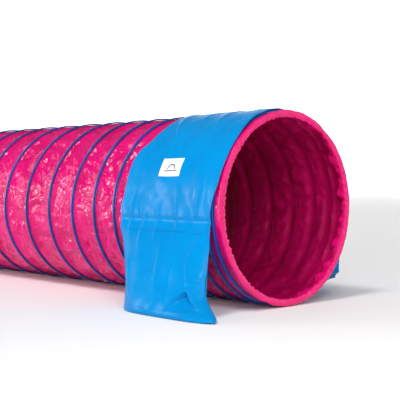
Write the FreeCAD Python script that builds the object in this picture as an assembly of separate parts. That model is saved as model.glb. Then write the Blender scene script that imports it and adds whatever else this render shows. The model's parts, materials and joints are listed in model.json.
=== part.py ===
"""Dog agility tunnel with its sandbag saddle.

A cloth tube is held open by one spring wire. The wire runs as a left-handed helix under a
raised wear strip, and the turns slide together when the tunnel is closed. Each turn of
cloth, strip and wire is its own piece here, because each turn travels a different way.
The saddle is a wide strap over the tube with a sand pocket hanging at each side.

Millimetres. X runs along the tunnel and +X is the exit end, Z is up, and z = 0 is the
floor. The near side is -Y. The origin is the middle of the whole object on the floor.
"""
import FreeCAD, Part
import math
import os

V = FreeCAD.Vector

# ---- driving dimensions ------------------------------------------------------------
INSIDE_DIAMETER = 600.0         # clear diameter of the cloth tube, the usual agility size
LENGTH = 2000.0                 # rim to rim, pulled out
EXIT_X = 956.0                  # outer face of the exit cuff
CLOTH = 0.8                     # coated cloth of the tube
WIRE_DIAMETER = 3.0             # spring wire of the helix
WIRE_SIDES = 12
WIRE_PLAY = 0.4                 # air under the wire
STRIP_WIDTH = 15.0              # wear strip over the wire
STRIP_SHEET = 0.8               # thickness of the strip's flanges
STRIP_ROOF = 1.0                # thickness of the strip over the wire
STRIP_HEIGHT = 5.3              # the strip's whole height
STRIP_CROWN = 6.6               # width of the raised middle
STRIP_CHANNEL = 4.8             # width of the room for the wire
STRIP_SHOULDER = 1.6            # width of the crown's sloping corner
STRIP_SPLAY = 0.5               # how far the crown's sides lean out
LAYER_GAP = 0.6                 # air between the tube and the strip
CUFF_TO_STRIP = 0.5             # air between a cuff and the first strip
CUFF_LENGTH = 16.0              # rolled end cuff, along the tunnel
CUFF_DEPTH = 28.0               # rolled end cuff, across its wall
RING_DIAMETER = 5.0             # hoop inside each cuff
RING_PLAY = 0.5                 # air round the hoop
TURN_GAP_DEG = 0.15             # clearance at each end of a turn
BAY_GAP = 0.4                   # air between two bays of cloth

# spacing of the helix, from the exit: gathered, under the saddle, easing out, open
EXIT_PITCHES = [17.0, 32.0, 58.0]
SADDLE_PITCHES = [90.0, 100.0, 100.0, 104.0]
EASING_PITCHES = [110.0, 130.0]
OPEN_TURNS = 8
FAR_PITCH = 40.0

SADDLE_WIDTH = 418.0            # along the tunnel
SADDLE_SETBACK = 12.0           # from the exit rim to the saddle's edge
SADDLE_SHEET = 3.0
SADDLE_GAP = 1.8                # air between the strips and the saddle
LEG_GAP = 0.4                   # half the gap at the fold between saddle and leg
LEG_STEP = 1.0                  # the leg hangs this much outside the saddle
NEAR_LEG_DRIFT = 100.0          # the near leg leans towards the exit by this much
FAR_LEG_DRIFT = -100.0          # the far leg leans the other way

# side view of a bag: how far in from its outermost face, and how high
BAG_REACH = 430.0               # outermost face of a bag from the tunnel's middle plane
POCKET_TOP = 262.0              # height where the sand pocket starts to swell
BACK_TOP = 180.0                # height where the pocket's back leaves the straight strap
BAG_SHOULDER = (30.0, 110.0)
BAG_BELLY = (8.0, 50.0)
BAG_BULGE = 22.0                # height of the outermost point
FOOT_FRONT = 7.0                # where the flat foot starts, in from the outermost face
FOOT_DEPTH = 65.0
BAG_HEEL = (80.0, 12.0)
BAG_BACK = (94.0, 70.0)
BAG_SKIN = 3.0
SAND_GAP = 1.0
POCKET_SEAM = 12.0              # sewn edge of the pocket at each side

FLAP_TOP = 292.0
FLAP_DROP = 56.0
FLAP_SHEET = 2.0
FLAP_AIR = 1.0                  # air between the flap and the leg
FLAP_FLARE = 16.0               # how far the flap's foot stands off over the pocket
FLAP_INSET = 8.0                # the flap is this much narrower at each side
LABEL_SIZE = (94.0, 60.0)       # along the tunnel, around the tube
LABEL_SHEET = 0.8
LABEL_GAP = 0.4
LABEL_CENTRE = 236.0            # from the exit rim to the label's middle
LABEL_ANGLE = 24.0              # above the tube's waist, on the near side

# ---- worked out from them ----------------------------------------------------------
CLOTH_IN = INSIDE_DIAMETER / 2
CLOTH_OUT = CLOTH_IN + CLOTH
STRIP_IN = CLOTH_OUT + LAYER_GAP
STRIP_OUT = STRIP_IN + STRIP_HEIGHT
WIRE_RADIUS = STRIP_IN + WIRE_PLAY + WIRE_DIAMETER / 2
AXIS_Z = STRIP_OUT
SADDLE_IN = STRIP_OUT + SADDLE_GAP
SADDLE_OUT = SADDLE_IN + SADDLE_SHEET
LEG_IN = SADDLE_IN + LEG_STEP
LEG_OUT = SADDLE_OUT + LEG_STEP
WIRE_START = CUFF_LENGTH + STRIP_WIDTH / 2 + CUFF_TO_STRIP
OPEN_PITCH = (LENGTH - 2 * WIRE_START - FAR_PITCH
              - sum(EXIT_PITCHES + SADDLE_PITCHES + EASING_PITCHES)) / OPEN_TURNS
MOVING_PITCHES = SADDLE_PITCHES + EASING_PITCHES + [OPEN_PITCH] * OPEN_TURNS


def write(name, shape):
    """One STEP file for one node."""
    shape.exportStep(os.path.join("parts", name + ".step"))
    box = shape.BoundBox
    print("%-18s solids %d  x %8.1f %8.1f  y %7.1f %7.1f  z %6.1f %6.1f" % (
        name, len(shape.Solids), box.XMin, box.XMax, box.YMin, box.YMax, box.ZMin, box.ZMax))


def group(solids):
    return solids[0] if len(solids) == 1 else Part.makeCompound(solids)


# ---- the tube ----------------------------------------------------------------------
def tube(x_far, x_near, inner, outer):
    """A straight ring of tube between two stations."""
    start = V(x_far, 0, AXIS_Z)
    length = x_near - x_far
    solid = Part.makeCylinder(outer, length, start, V(1, 0, 0))
    return solid.cut(Part.makeCylinder(inner, length, start, V(1, 0, 0)))


def helix_turn(x_start, pitch, outline):
    """Sweep an outline, given as (along, radius) points, round one turn from the floor.

    The turn leaves the exit: from the bottom it climbs the far side and comes down the
    near side, which makes the helix left-handed.
    """
    share = 1 - 2 * TURN_GAP_DEG / 360
    path = Part.makeHelix(pitch, pitch * share, WIRE_RADIUS, 0, True)
    profile = Part.makePolygon([V(r, 0, a) for a, r in outline + outline[:1]])
    solid = Part.Wire(path.Edges).makePipeShell([profile], True, True)
    return stand_helix(solid, x_start, pitch)


def stand_helix(solid, x_start, pitch):
    """Turn a helix that was made along Z from local X, so it leaves X from the bottom."""
    solid.rotate(V(0, 0, 0), V(0, 0, 1), -TURN_GAP_DEG)
    to_row = FreeCAD.Matrix(0, 0, -1, x_start - pitch * TURN_GAP_DEG / 360,
                            0, -1, 0, 0,
                            -1, 0, 0, AXIS_Z,
                            0, 0, 0, 1)
    solid.transformShape(to_row)
    if solid.Volume < 0:
        solid.reverse()
    return solid


def strip_outline():
    """Hat section of the wear strip: two flanges and a hollow crown for the wire."""
    half = STRIP_WIDTH / 2
    crown = STRIP_CROWN / 2
    channel = STRIP_CHANNEL / 2
    flange = STRIP_IN + STRIP_SHEET
    roof = STRIP_OUT - STRIP_ROOF
    right = [(crown - STRIP_SHOULDER, STRIP_OUT), (crown, roof), (crown + STRIP_SPLAY, flange),
             (half, flange), (half, STRIP_IN), (channel, STRIP_IN), (channel, roof)]
    left = [(-along, radius) for along, radius in reversed(right)]
    return right + left


def wire_outline():
    """Section of the spring wire, as a twelve-sided round."""
    radius = WIRE_DIAMETER / 2
    turns = [2 * math.pi * side / WIRE_SIDES for side in range(WIRE_SIDES)]
    return [(radius * math.sin(t), WIRE_RADIUS + radius * math.cos(t)) for t in turns]


def stations(x_start, pitches):
    """Where each turn starts, going away from the exit."""
    out = []
    for pitch in pitches:
        out.append((x_start, pitch))
        x_start -= pitch
    return out


def write_turns(names, x_near, x_far, turns):
    """Cloth, wear strip and wire of one group of turns that travels together."""
    cloth_name, strip_name, wire_name = names
    write(cloth_name, tube(x_far, x_near, CLOTH_IN, CLOTH_OUT))
    write(strip_name, group([helix_turn(x, p, strip_outline()) for x, p in turns]))
    write(wire_name, group([helix_turn(x, p, wire_outline()) for x, p in turns]))


# ---- the cuffs ---------------------------------------------------------------------
def cuff(x_far):
    """A rolled hem with its hoop inside: the roll as a hollow ring, and the hoop."""
    outer = STRIP_OUT
    inner = outer - CUFF_DEPTH
    r = CUFF_LENGTH / 2
    x_mid = x_far + r
    low, high = AXIS_Z + inner + r, AXIS_Z + outer - r
    section = Part.Wire([
        Part.LineSegment(V(x_far, 0, low), V(x_far, 0, high)).toShape(),
        Part.Arc(V(x_far, 0, high), V(x_mid, 0, high + r), V(x_far + 2 * r, 0, high)).toShape(),
        Part.LineSegment(V(x_far + 2 * r, 0, high), V(x_far + 2 * r, 0, low)).toShape(),
        Part.Arc(V(x_far + 2 * r, 0, low), V(x_mid, 0, low - r), V(x_far, 0, low)).toShape()])
    roll = Part.Face(section).revolve(V(0, 0, AXIS_Z), V(1, 0, 0), 360)
    hoop_radius = high - AXIS_Z
    centre = V(x_mid, 0, AXIS_Z)
    channel = Part.makeTorus(hoop_radius, RING_DIAMETER / 2 + RING_PLAY, centre, V(1, 0, 0))
    hoop = Part.makeTorus(hoop_radius, RING_DIAMETER / 2, centre, V(1, 0, 0))
    return roll.cut(channel), hoop


# ---- the saddle --------------------------------------------------------------------
def saddle_panel(x_far, x_near):
    """The strap over the tube, from one fold line over the top to the other."""
    ring = tube(x_far, x_near, SADDLE_IN, SADDLE_OUT)
    across = 2 * SADDLE_OUT
    low = Part.makeBox(2 * SADDLE_WIDTH, 2 * across, across,
                       V(x_far - SADDLE_WIDTH / 2, -across, AXIS_Z + LEG_GAP - across))
    return ring.cut(low)


def leaning_prism(outline, x_far, x_near, drift, side):
    """A prism along X from a (reach, height) outline, leaning along X towards its foot."""
    wires = []
    for x in (x_far, x_near):
        points = [V(x + drift * (AXIS_Z - z) / AXIS_Z, side * y, z) for y, z in outline]
        wires.append(Part.makePolygon(points + points[:1]))
    return Part.makeLoft(wires, True, True)


def inset(outline, step):
    """The same outline moved inwards all round by a step."""
    face = Part.Face(Part.makePolygon([V(y, z, 0) for y, z in outline + outline[:1]]))
    wire = face.makeOffset2D(-step, join=2).OuterWire
    return [(v.X, v.Y) for v in wire.OrderedVertexes]


def pocket_outline():
    """Side view of the sand pocket, from its narrow mouth down to the flat foot."""
    def inside(place):
        return BAG_REACH - place[0], place[1]

    foot = BAG_REACH - FOOT_FRONT
    return [(LEG_OUT, POCKET_TOP), inside(BAG_SHOULDER), inside(BAG_BELLY),
            (BAG_REACH, BAG_BULGE), (foot, 0), (foot - FOOT_DEPTH, 0),
            inside(BAG_HEEL), inside(BAG_BACK), (LEG_IN, BACK_TOP)]


def bag_outline():
    """Side view of a leg: the flat strap, and below it the pocket."""
    top = AXIS_Z - LEG_GAP
    return [(LEG_IN, top), (LEG_OUT, top)] + pocket_outline()


def flap_outline():
    """Side view of the flap: straight down the strap, then out over the pocket."""
    face = LEG_OUT + FLAP_AIR
    foot = FLAP_TOP - FLAP_DROP
    return [(face, POCKET_TOP), (face, FLAP_TOP), (face + FLAP_SHEET, FLAP_TOP),
            (face + FLAP_SHEET + FLAP_FLARE, foot), (face + FLAP_FLARE, foot)]


def write_leg(name, drift, side):
    """One leg: the pocket's skin, the sand in it, and the flap over its mouth."""
    x_near = EXIT_X - SADDLE_SETBACK
    x_far = x_near - SADDLE_WIDTH
    room_outline = inset(pocket_outline(), BAG_SKIN)
    whole = leaning_prism(bag_outline(), x_far, x_near, drift, side)
    room = leaning_prism(room_outline, x_far + POCKET_SEAM, x_near - POCKET_SEAM, drift, side)
    sand_seam = POCKET_SEAM + SAND_GAP
    sand = leaning_prism(inset(room_outline, SAND_GAP), x_far + sand_seam, x_near - sand_seam,
                         drift, side)
    write(name + "_bag", whole.cut(room))
    write(name + "_sand", sand)
    write(name + "_flap", leaning_prism(flap_outline(), x_far + FLAP_INSET,
                                        x_near - FLAP_INSET, drift, side))


def label_patch():
    """A sewn label that follows the saddle's curve."""
    length, around = LABEL_SIZE
    x_far = EXIT_X - LABEL_CENTRE - length / 2
    low = AXIS_Z + SADDLE_OUT + LABEL_GAP
    high = low + LABEL_SHEET
    spread = math.degrees(around / (low - AXIS_Z))
    section = Part.Face(Part.makePolygon([
        V(x_far, 0, low), V(x_far + length, 0, low), V(x_far + length, 0, high),
        V(x_far, 0, high), V(x_far, 0, low)]))
    section.rotate(V(0, 0, AXIS_Z), V(1, 0, 0), 90 - LABEL_ANGLE - spread / 2)
    return section.revolve(V(0, 0, AXIS_Z), V(1, 0, 0), spread)


# ---- build -------------------------------------------------------------------------
os.makedirs("parts", exist_ok=True)

exit_roll, exit_hoop = cuff(EXIT_X - CUFF_LENGTH)
write("exit_cuff", exit_roll)
write("exit_end_ring", exit_hoop)

x = EXIT_X - WIRE_START
exit_turns = stations(x, EXIT_PITCHES)
x -= sum(EXIT_PITCHES)
write_turns(("exit_fabric", "exit_wear_strip", "exit_spring_wire"),
            EXIT_X - CUFF_LENGTH, x + BAY_GAP / 2, exit_turns)

for number, pitch in enumerate(MOVING_PITCHES, start=1):
    names = ["%s_%02d" % (kind, number) for kind in ("fabric_bay", "wear_strip", "spring_wire")]
    write_turns(names, x - BAY_GAP / 2, x - pitch + BAY_GAP / 2, [(x, pitch)])
    x -= pitch

far_rim = EXIT_X - LENGTH
write_turns(("far_fabric", "far_wear_strip", "far_spring_wire"),
            x - BAY_GAP / 2, far_rim + CUFF_LENGTH, [(x, FAR_PITCH)])
far_roll, far_hoop = cuff(far_rim)
write("far_cuff", far_roll)
write("far_end_ring", far_hoop)

saddle_near = EXIT_X - SADDLE_SETBACK
write("saddle_panel", saddle_panel(saddle_near - SADDLE_WIDTH, saddle_near))
write("label_patch", label_patch())
write_leg("near", NEAR_LEG_DRIFT, -1)
write_leg("far", FAR_LEG_DRIFT, 1)
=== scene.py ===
# %% [markdown]
# # A dog agility tunnel with its sandbag saddle
#
# The object is a tube of glossy coated cloth, held open by a spring wire that runs round it as a
# left-handed helix. A raised blue strip covers the wire. Each mouth has a rolled cuff, and a blue
# saddle with two sandbags lies over the exit end.
#
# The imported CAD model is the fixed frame. Every length below comes from it, in metres, so the looks
# and the moving bodies stay in one place. X runs along the tunnel, +X is the exit, and the near side
# is -Y.

# %% Load the frame
import json
import math
import bpy
import numpy as np
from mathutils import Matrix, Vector

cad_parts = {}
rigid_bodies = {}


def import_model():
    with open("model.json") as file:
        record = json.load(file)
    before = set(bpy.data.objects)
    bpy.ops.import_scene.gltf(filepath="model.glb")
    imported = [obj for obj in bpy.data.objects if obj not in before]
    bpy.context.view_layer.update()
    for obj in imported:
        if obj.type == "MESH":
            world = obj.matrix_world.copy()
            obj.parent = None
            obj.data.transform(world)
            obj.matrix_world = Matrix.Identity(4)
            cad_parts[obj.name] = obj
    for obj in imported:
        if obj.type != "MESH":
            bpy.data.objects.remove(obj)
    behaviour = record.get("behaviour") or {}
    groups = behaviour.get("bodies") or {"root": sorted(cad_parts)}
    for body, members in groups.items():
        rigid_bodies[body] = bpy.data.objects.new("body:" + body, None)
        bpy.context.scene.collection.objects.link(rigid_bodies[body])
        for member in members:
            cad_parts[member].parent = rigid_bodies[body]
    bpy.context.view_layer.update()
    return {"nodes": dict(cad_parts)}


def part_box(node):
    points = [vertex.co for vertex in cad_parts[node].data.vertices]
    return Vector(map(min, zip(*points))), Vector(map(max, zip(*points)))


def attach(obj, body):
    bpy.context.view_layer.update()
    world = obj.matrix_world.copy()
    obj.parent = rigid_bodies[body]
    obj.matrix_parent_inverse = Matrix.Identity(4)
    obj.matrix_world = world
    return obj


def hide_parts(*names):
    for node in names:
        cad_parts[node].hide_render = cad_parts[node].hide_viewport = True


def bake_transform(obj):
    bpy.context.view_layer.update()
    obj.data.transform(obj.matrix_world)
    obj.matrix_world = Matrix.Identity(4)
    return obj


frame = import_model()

# %% [markdown]
# ## Measures from the frame
#
# The cuffs give the tube's axis and outer radius, and the cloth bays give the stations where each turn
# of the helix starts. The turns could be counted by eye, but then a change in the CAD would leave the
# looks behind.

# %% Measures
MM = 0.001
exit_cuff_low, exit_cuff_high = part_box("exit_cuff")
EXIT_RIM = exit_cuff_high.x
FAR_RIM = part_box("far_cuff")[0].x
CUFF_LENGTH = exit_cuff_high.x - exit_cuff_low.x
AXIS_Z = (exit_cuff_high.z + exit_cuff_low.z) / 2
STRIP_OUT = (exit_cuff_high.z - exit_cuff_low.z) / 2
CLOTH_OUT = (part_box("exit_fabric")[1].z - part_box("exit_fabric")[0].z) / 2
STRIP_IN = CLOTH_OUT + 0.6 * MM
STRIP_WIDTH = 15 * MM
BAYS = sorted(n for n in frame["nodes"] if n.startswith("fabric_bay_"))
GATHERED = [17 * MM, 32 * MM, 58 * MM]
CUFF_TO_STRIP = STRIP_WIDTH / 2 + 0.5 * MM
BAY_MARGIN = 0.2 * MM

stations = [EXIT_RIM - CUFF_LENGTH - CUFF_TO_STRIP]
for pitch in GATHERED:
    stations.append(stations[-1] - pitch)
for bay in BAYS:
    stations.append(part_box(bay)[0].x - BAY_MARGIN)
stations.append(FAR_RIM + CUFF_LENGTH + CUFF_TO_STRIP)
stations = np.array(stations)
print("stations", len(stations), "axis height", round(AXIS_Z, 4), "strip radius", round(STRIP_OUT, 4))

# %% [markdown]
# ## Small helpers
#
# An operator works on everything that is selected, and a new primitive is selected all over. So each
# step starts from nothing selected.

# %% Selecting and naming
def deselect_all():
    if bpy.context.mode != "OBJECT":
        bpy.ops.object.mode_set(mode="OBJECT")
    bpy.ops.object.select_all(action="DESELECT")


def use(obj):
    """Make one object the selected and active one."""
    deselect_all()
    obj.select_set(True)
    bpy.context.view_layer.objects.active = obj


def named(name):
    """Name the object that an operator has just made, and its mesh."""
    obj = bpy.context.object
    obj.name = name
    obj.data.name = name
    return obj


def settle(obj):
    """Put the object's place into its mesh, as a CAD node's is."""
    use(obj)
    bpy.ops.object.transform_apply(location=True, rotation=True, scale=True)


print("selected at the start", len(bpy.context.selected_objects))

# %% [markdown]
# The points of a mesh are moved as one array, because a loop over thousands of points is slow. A sheet
# of cloth is shaped as a single surface first. Solidify then gives it a thickness, with a rim that
# closes it.

# %% Points and modifiers
def points_of(obj):
    """All of a mesh's points, as rows of an array."""
    out = np.empty(len(obj.data.vertices) * 3)
    obj.data.vertices.foreach_get("co", out)
    return out.reshape(-1, 3)


def put_points(obj, points):
    """Write the points back, in the same order."""
    obj.data.vertices.foreach_set("co", np.asarray(points, float).ravel())
    obj.data.update()


def apply_modifiers(obj):
    """Turn the modifiers' result into the mesh itself."""
    use(obj)
    for modifier in list(obj.modifiers):
        bpy.ops.object.modifier_apply(modifier=modifier.name)


def thicken(obj, thickness, inner_slot=0):
    """Give a single surface the thickness of cloth, away from its face."""
    modifier = obj.modifiers.new("cloth thickness", "SOLIDIFY")
    modifier.thickness = thickness
    modifier.offset = -1
    modifier.use_rim = True
    modifier.material_offset = inner_slot
    apply_modifiers(obj)


def smooth(obj, angle=None):
    """Shade smoothly, or keep the edges that are sharper than an angle."""
    use(obj)
    if angle is None:
        bpy.ops.object.shade_smooth()
    else:
        bpy.ops.object.shade_smooth_by_angle(angle=angle)


print("modifiers are applied, so a finished piece is a plain mesh")

# %% [markdown]
# Which way a face points decides how it is lit, and which side Solidify thickens. A closed shape can
# have its normals recalculated. An open sheet can't say what is outside, so it is turned over where it
# was laid face down.

# %% Normals and finer edges
def outwards(obj):
    """Recalculate the normals of a closed shape, so that they point out."""
    use(obj)
    bpy.ops.object.mode_set(mode="EDIT")
    bpy.ops.mesh.select_all(action="SELECT")
    bpy.ops.mesh.normals_make_consistent(inside=False)
    bpy.ops.object.mode_set(mode="OBJECT")


def turn_round(obj):
    """Turn every face over, where a sheet was laid with its face down."""
    use(obj)
    bpy.ops.object.mode_set(mode="EDIT")
    bpy.ops.mesh.select_all(action="SELECT")
    bpy.ops.mesh.flip_normals()
    bpy.ops.object.mode_set(mode="OBJECT")


def subdivide_along(obj, axis, cuts):
    """Cut every edge that runs along one axis into equal lengths."""
    use(obj)
    points = points_of(obj)
    mesh = obj.data
    ends = np.empty(len(mesh.edges) * 2, int)
    mesh.edges.foreach_get("vertices", ends)
    step = np.abs(points[ends[0::2]] - points[ends[1::2]])
    chosen = step[:, axis] > 0.9 * np.linalg.norm(step, axis=1)
    bpy.ops.object.mode_set(mode="EDIT")
    bpy.ops.mesh.select_mode(type="EDGE")
    bpy.ops.mesh.select_all(action="DESELECT")
    bpy.ops.object.mode_set(mode="OBJECT")
    mesh.edges.foreach_set("select", chosen)
    bpy.ops.object.mode_set(mode="EDIT")
    bpy.ops.mesh.subdivide(number_cuts=cuts)
    bpy.ops.object.mode_set(mode="OBJECT")


print("an edge runs along an axis when 0.9 of its length lies that way")

# %% [markdown]
# The weave of a cloth follows the cloth and not the room, so each piece has a map of its own, in
# metres. A smooth step joins one stretch of a shape to the next with no kink.

# %% The cloth's own map, and a smooth step
def set_uv(obj, per_point):
    """Write a UV map from two numbers for each point, in metres."""
    layer = obj.data.uv_layers.active or obj.data.uv_layers.new(name="cloth")
    corner = np.empty(len(obj.data.loops), int)
    obj.data.loops.foreach_get("vertex_index", corner)
    layer.data.foreach_set("uv", np.asarray(per_point, float)[corner].ravel())


def ease(x, low, high):
    """Nought below low, one above high, and a smooth step between them."""
    t = np.clip((x - low) / (high - low), 0, 1)
    return t * t * (3 - 2 * t)


print("the smooth step at a quarter of its way", ease(0.25, 0, 1))

# %% [markdown]
# ## Creases in coated cloth
#
# Coated cloth doesn't ripple like a bed sheet: it folds into flat facets with sharp creases between
# them. A cloth simulation of two metres of tube would be slow, and its creases come out round. Folding
# a few families of straight pleats over each other, each bent a little by a slow noise and each fading
# in and out, gives the same flat facets in a moment. The noise is a sum of waves in random directions,
# from a seeded generator, so it is the same each time.

# %% Noise and folds
def soft_noise(points, size, seed, waves=12):
    """A smooth random field with bumps of about one size. Its values lie mostly within 1."""
    rng = np.random.default_rng(seed)
    total = np.zeros(len(points))
    for _ in range(waves):
        direction = rng.normal(size=3)
        direction /= np.linalg.norm(direction)
        number = 2 * math.pi / size * rng.uniform(0.6, 1.3)
        total += np.cos(points @ direction * number + rng.uniform(0, 2 * math.pi))
    return total / math.sqrt(waves / 2)


def pleat(phase):
    """A zigzag between -1 and 1: flat slopes that meet in sharp creases."""
    return 2 * np.abs(2 * (phase - np.floor(phase + 0.5))) - 1


def crumple(points, size, seed, families=5, lean=None):
    """Facets with sharp creases, of about one size. lean stretches them along one axis."""
    rng = np.random.default_rng(seed)
    total = np.zeros(len(points))
    for family in range(families):
        direction = rng.normal(size=3)
        if lean is not None:
            direction *= lean
        direction /= np.linalg.norm(direction)
        bend = 0.35 * soft_noise(points, 3 * size, seed + 10 * family + 1)
        phase = points @ direction / size + bend + rng.uniform(0, 1)
        presence = ease(soft_noise(points, 2.2 * size, seed + 10 * family + 2), -0.2, 0.9)
        total += presence * pleat(phase)
    return total / math.sqrt(families)


sample = np.random.default_rng(1).uniform(0, 1, (2000, 3))
sample = crumple(sample, 0.1, 1)
print("folds run from", round(sample.min(), 2), "to", round(sample.max(), 2))

# %% [markdown]
# ## Materials
#
# All finishes here are coatings on woven cloth. So each one has a weave too fine to see from afar, a
# gloss that varies a little, and creases as bump. The weave follows the cloth's own UV map, which is in
# metres, and the larger patterns follow Object coordinates.

# %% Nodes and colour
def node(tree, kind, **inputs):
    """Add a shader node, with values for its sockets."""
    made = tree.nodes.new(kind)
    for key, value in inputs.items():
        made.inputs[key.replace("_", " ")].default_value = value
    return made


def new_material(name, base, roughness, **more):
    """A material with its main shader, and values for that shader's own sockets."""
    material = bpy.data.materials.new(name)
    material.use_nodes = True
    tree = material.node_tree
    shader = tree.nodes["Principled BSDF"]
    shader.inputs["Base Color"].default_value = (*base, 1)
    shader.inputs["Roughness"].default_value = roughness
    for key, value in more.items():
        shader.inputs[key.replace("_", " ")].default_value = value
    return material, tree, shader


def mottled_colour(tree, shader, dark, light, scale, where):
    """Blend two near colours by a cloudy noise."""
    noise = node(tree, "ShaderNodeTexNoise", Scale=scale, Detail=4.0, Roughness=0.6)
    tree.links.new(where, noise.inputs["Vector"])
    ramp = tree.nodes.new("ShaderNodeValToRGB")
    ramp.color_ramp.elements[0].position = 0.3
    ramp.color_ramp.elements[1].position = 0.7
    ramp.color_ramp.elements[0].color = (*dark, 1)
    ramp.color_ramp.elements[1].color = (*light, 1)
    tree.links.new(noise.outputs["Fac"], ramp.inputs["Fac"])
    tree.links.new(ramp.outputs["Color"], shader.inputs["Base Color"])


def speckled(name, base, roughness, dark, light, scale, **more):
    """A finish whose colour wanders between two near ones."""
    material, tree, shader = new_material(name, base, roughness, **more)
    where = tree.nodes.new("ShaderNodeTexCoord").outputs["Object"]
    mottled_colour(tree, shader, dark, light, scale, where)
    return material, tree, shader


print("materials at the start", len(bpy.data.materials))

# %% [markdown]
# Gloss varies where a coating is rubbed or thicker. Bumps stack: each one starts from the surface that
# the one below it left.

# %% Gloss and bump
def varied_gloss(tree, shader, low, high, scale, where):
    """Let the roughness wander between two values."""
    noise = node(tree, "ShaderNodeTexNoise", Scale=scale, Detail=3.0)
    tree.links.new(where, noise.inputs["Vector"])
    spread = tree.nodes.new("ShaderNodeMapRange")
    spread.inputs["From Min"].default_value = 0.3
    spread.inputs["From Max"].default_value = 0.7
    spread.inputs["To Min"].default_value = low
    spread.inputs["To Max"].default_value = high
    tree.links.new(noise.outputs["Fac"], spread.inputs["Value"])
    tree.links.new(spread.outputs["Result"], shader.inputs["Roughness"])


def add_bump(tree, shader, height, strength, distance):
    """Stack one more bump over those that the shader has already."""
    bump = node(tree, "ShaderNodeBump", Strength=strength, Distance=distance)
    tree.links.new(height, bump.inputs["Height"])
    below = shader.inputs["Normal"].links
    if below:
        tree.links.new(below[0].from_socket, bump.inputs["Normal"])
    tree.links.new(bump.outputs["Normal"], shader.inputs["Normal"])


print("each bump takes the normal of the one below it")

# %% [markdown]
# A weave is two sets of waves that cross, and the higher of the two wins, as with threads that go over
# and under. Fine creases are the borders of a Voronoi pattern, which meet in threes as real creases do.
# A noise bends them first, because straight ones look like cracked glass.

# %% Weave and creases
def weave_height(tree, thread):
    """Over-and-under threads, from the cloth's own UV map in metres."""
    uv = tree.nodes.new("ShaderNodeTexCoord").outputs["UV"]
    heights = []
    for direction in ("X", "Y"):
        wave = node(tree, "ShaderNodeTexWave", Scale=1 / (thread * 20 / math.pi * 2))
        wave.bands_direction = direction
        tree.links.new(uv, wave.inputs["Vector"])
        heights.append(wave.outputs["Fac"])
    mixed = tree.nodes.new("ShaderNodeMath")
    mixed.operation = "MAXIMUM"
    tree.links.new(heights[0], mixed.inputs[0])
    tree.links.new(heights[1], mixed.inputs[1])
    return mixed.outputs[0]


def crease_height(tree, scale, where):
    """Thin creases: the lines between the cells of a bent Voronoi pattern."""
    warp = node(tree, "ShaderNodeTexNoise", Scale=scale * 0.6, Detail=2.0)
    tree.links.new(where, warp.inputs["Vector"])
    push = tree.nodes.new("ShaderNodeVectorMath")
    push.operation = "MULTIPLY_ADD"
    push.inputs[1].default_value = (0.5 / scale,) * 3
    tree.links.new(warp.outputs["Color"], push.inputs[0])
    tree.links.new(where, push.inputs[2])
    cells = node(tree, "ShaderNodeTexVoronoi", Scale=scale)
    cells.feature = "DISTANCE_TO_EDGE"
    tree.links.new(push.outputs["Vector"], cells.inputs["Vector"])
    spread = tree.nodes.new("ShaderNodeMapRange")
    spread.inputs["From Max"].default_value = 0.25
    tree.links.new(cells.outputs["Distance"], spread.inputs["Value"])
    return spread.outputs["Result"]


print("a thread of 0.9 mm takes a wave scale of", round(1 / (0.9 * MM * 20 / math.pi * 2), 1))

# %% [markdown]
# The tunnel, its cuffs, the strip and the saddle are all coated cloth. They differ in colour, gloss,
# and the size and depth of their creases, so one function makes them all.

# %% The finishes
THREAD_WIDTH = 0.9 * MM
MOTTLE_SCALE, GLOSS_SCALE = 7.0, 11.0


def coated_cloth(name, dark, light, gloss, crease_scales, crease_depth, shine=0.4):
    """A woven cloth with a glossy coating."""
    material, tree, shader = new_material(name, light, sum(gloss) / 2,
                                          Specular_IOR_Level=shine, Coat_Weight=shine / 2,
                                          Coat_Roughness=0.15)
    where = tree.nodes.new("ShaderNodeTexCoord").outputs["Object"]
    mottled_colour(tree, shader, dark, light, MOTTLE_SCALE, where)
    varied_gloss(tree, shader, *gloss, GLOSS_SCALE, where)
    add_bump(tree, shader, weave_height(tree, THREAD_WIDTH), 0.15, 0.1 * MM)
    for scale in crease_scales:
        add_bump(tree, shader, crease_height(tree, scale, where), 0.5, crease_depth)
    return material


TUNNEL_CLOTH = coated_cloth("magenta coated cloth", (0.54, 0.0, 0.11), (0.72, 0.001, 0.175),
                            (0.08, 0.17), (13.0, 36.0), 2.6 * MM, shine=0.25)
# The inner face's colours are the outer cloth's darkened: painted shade for the dim inside of the tube.
INNER_CLOTH_PAINTED_SHADE = coated_cloth("magenta inner cloth with painted shade", (0.34, 0.0, 0.06), (0.50, 0.001, 0.105),
                           (0.55, 0.7), (13.0, 36.0), 0.8 * MM, shine=0.08)
CUFF_CLOTH = coated_cloth("magenta cuff cloth", (0.68, 0.002, 0.13), (0.84, 0.006, 0.19),
                          (0.18, 0.30), (26.0, 60.0), 0.9 * MM, shine=0.22)
STRIP_COAT = coated_cloth("blue wear strip", (0.0, 0.028, 0.2), (0.0, 0.055, 0.33),
                          (0.2, 0.34), (40.0,), 0.2 * MM)
SADDLE_CLOTH = coated_cloth("azure coated cloth", (0.0, 0.215, 0.54), (0.0, 0.255, 0.615),
                            (0.22, 0.32), (9.0, 24.0), 0.3 * MM, shine=0.05)
for cloth in (TUNNEL_CLOTH, INNER_CLOTH_PAINTED_SHADE, CUFF_CLOTH, STRIP_COAT, SADDLE_CLOTH):
    print(cloth.name, "has", len(cloth.node_tree.nodes), "nodes")

# %% [markdown]
# ## Where the helix runs
#
# Along the tube, the helix is a count of turns. At the floor each turn starts at its station, and the
# spacing is even between two stations. The cloth, the strip and the wire all ask the same functions, so
# they stay on one line. Near the exit the turns lean: they bunch at the top and spread at the floor,
# as they do when a sandbag presses on them.

# %% The helix and its lean
TURNS = np.arange(len(stations))
MOST_LEAN = 14 * MM


def turn_at(x):
    """The count of turns at a place along the tunnel."""
    return np.interp(-x, -stations, TURNS)


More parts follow.
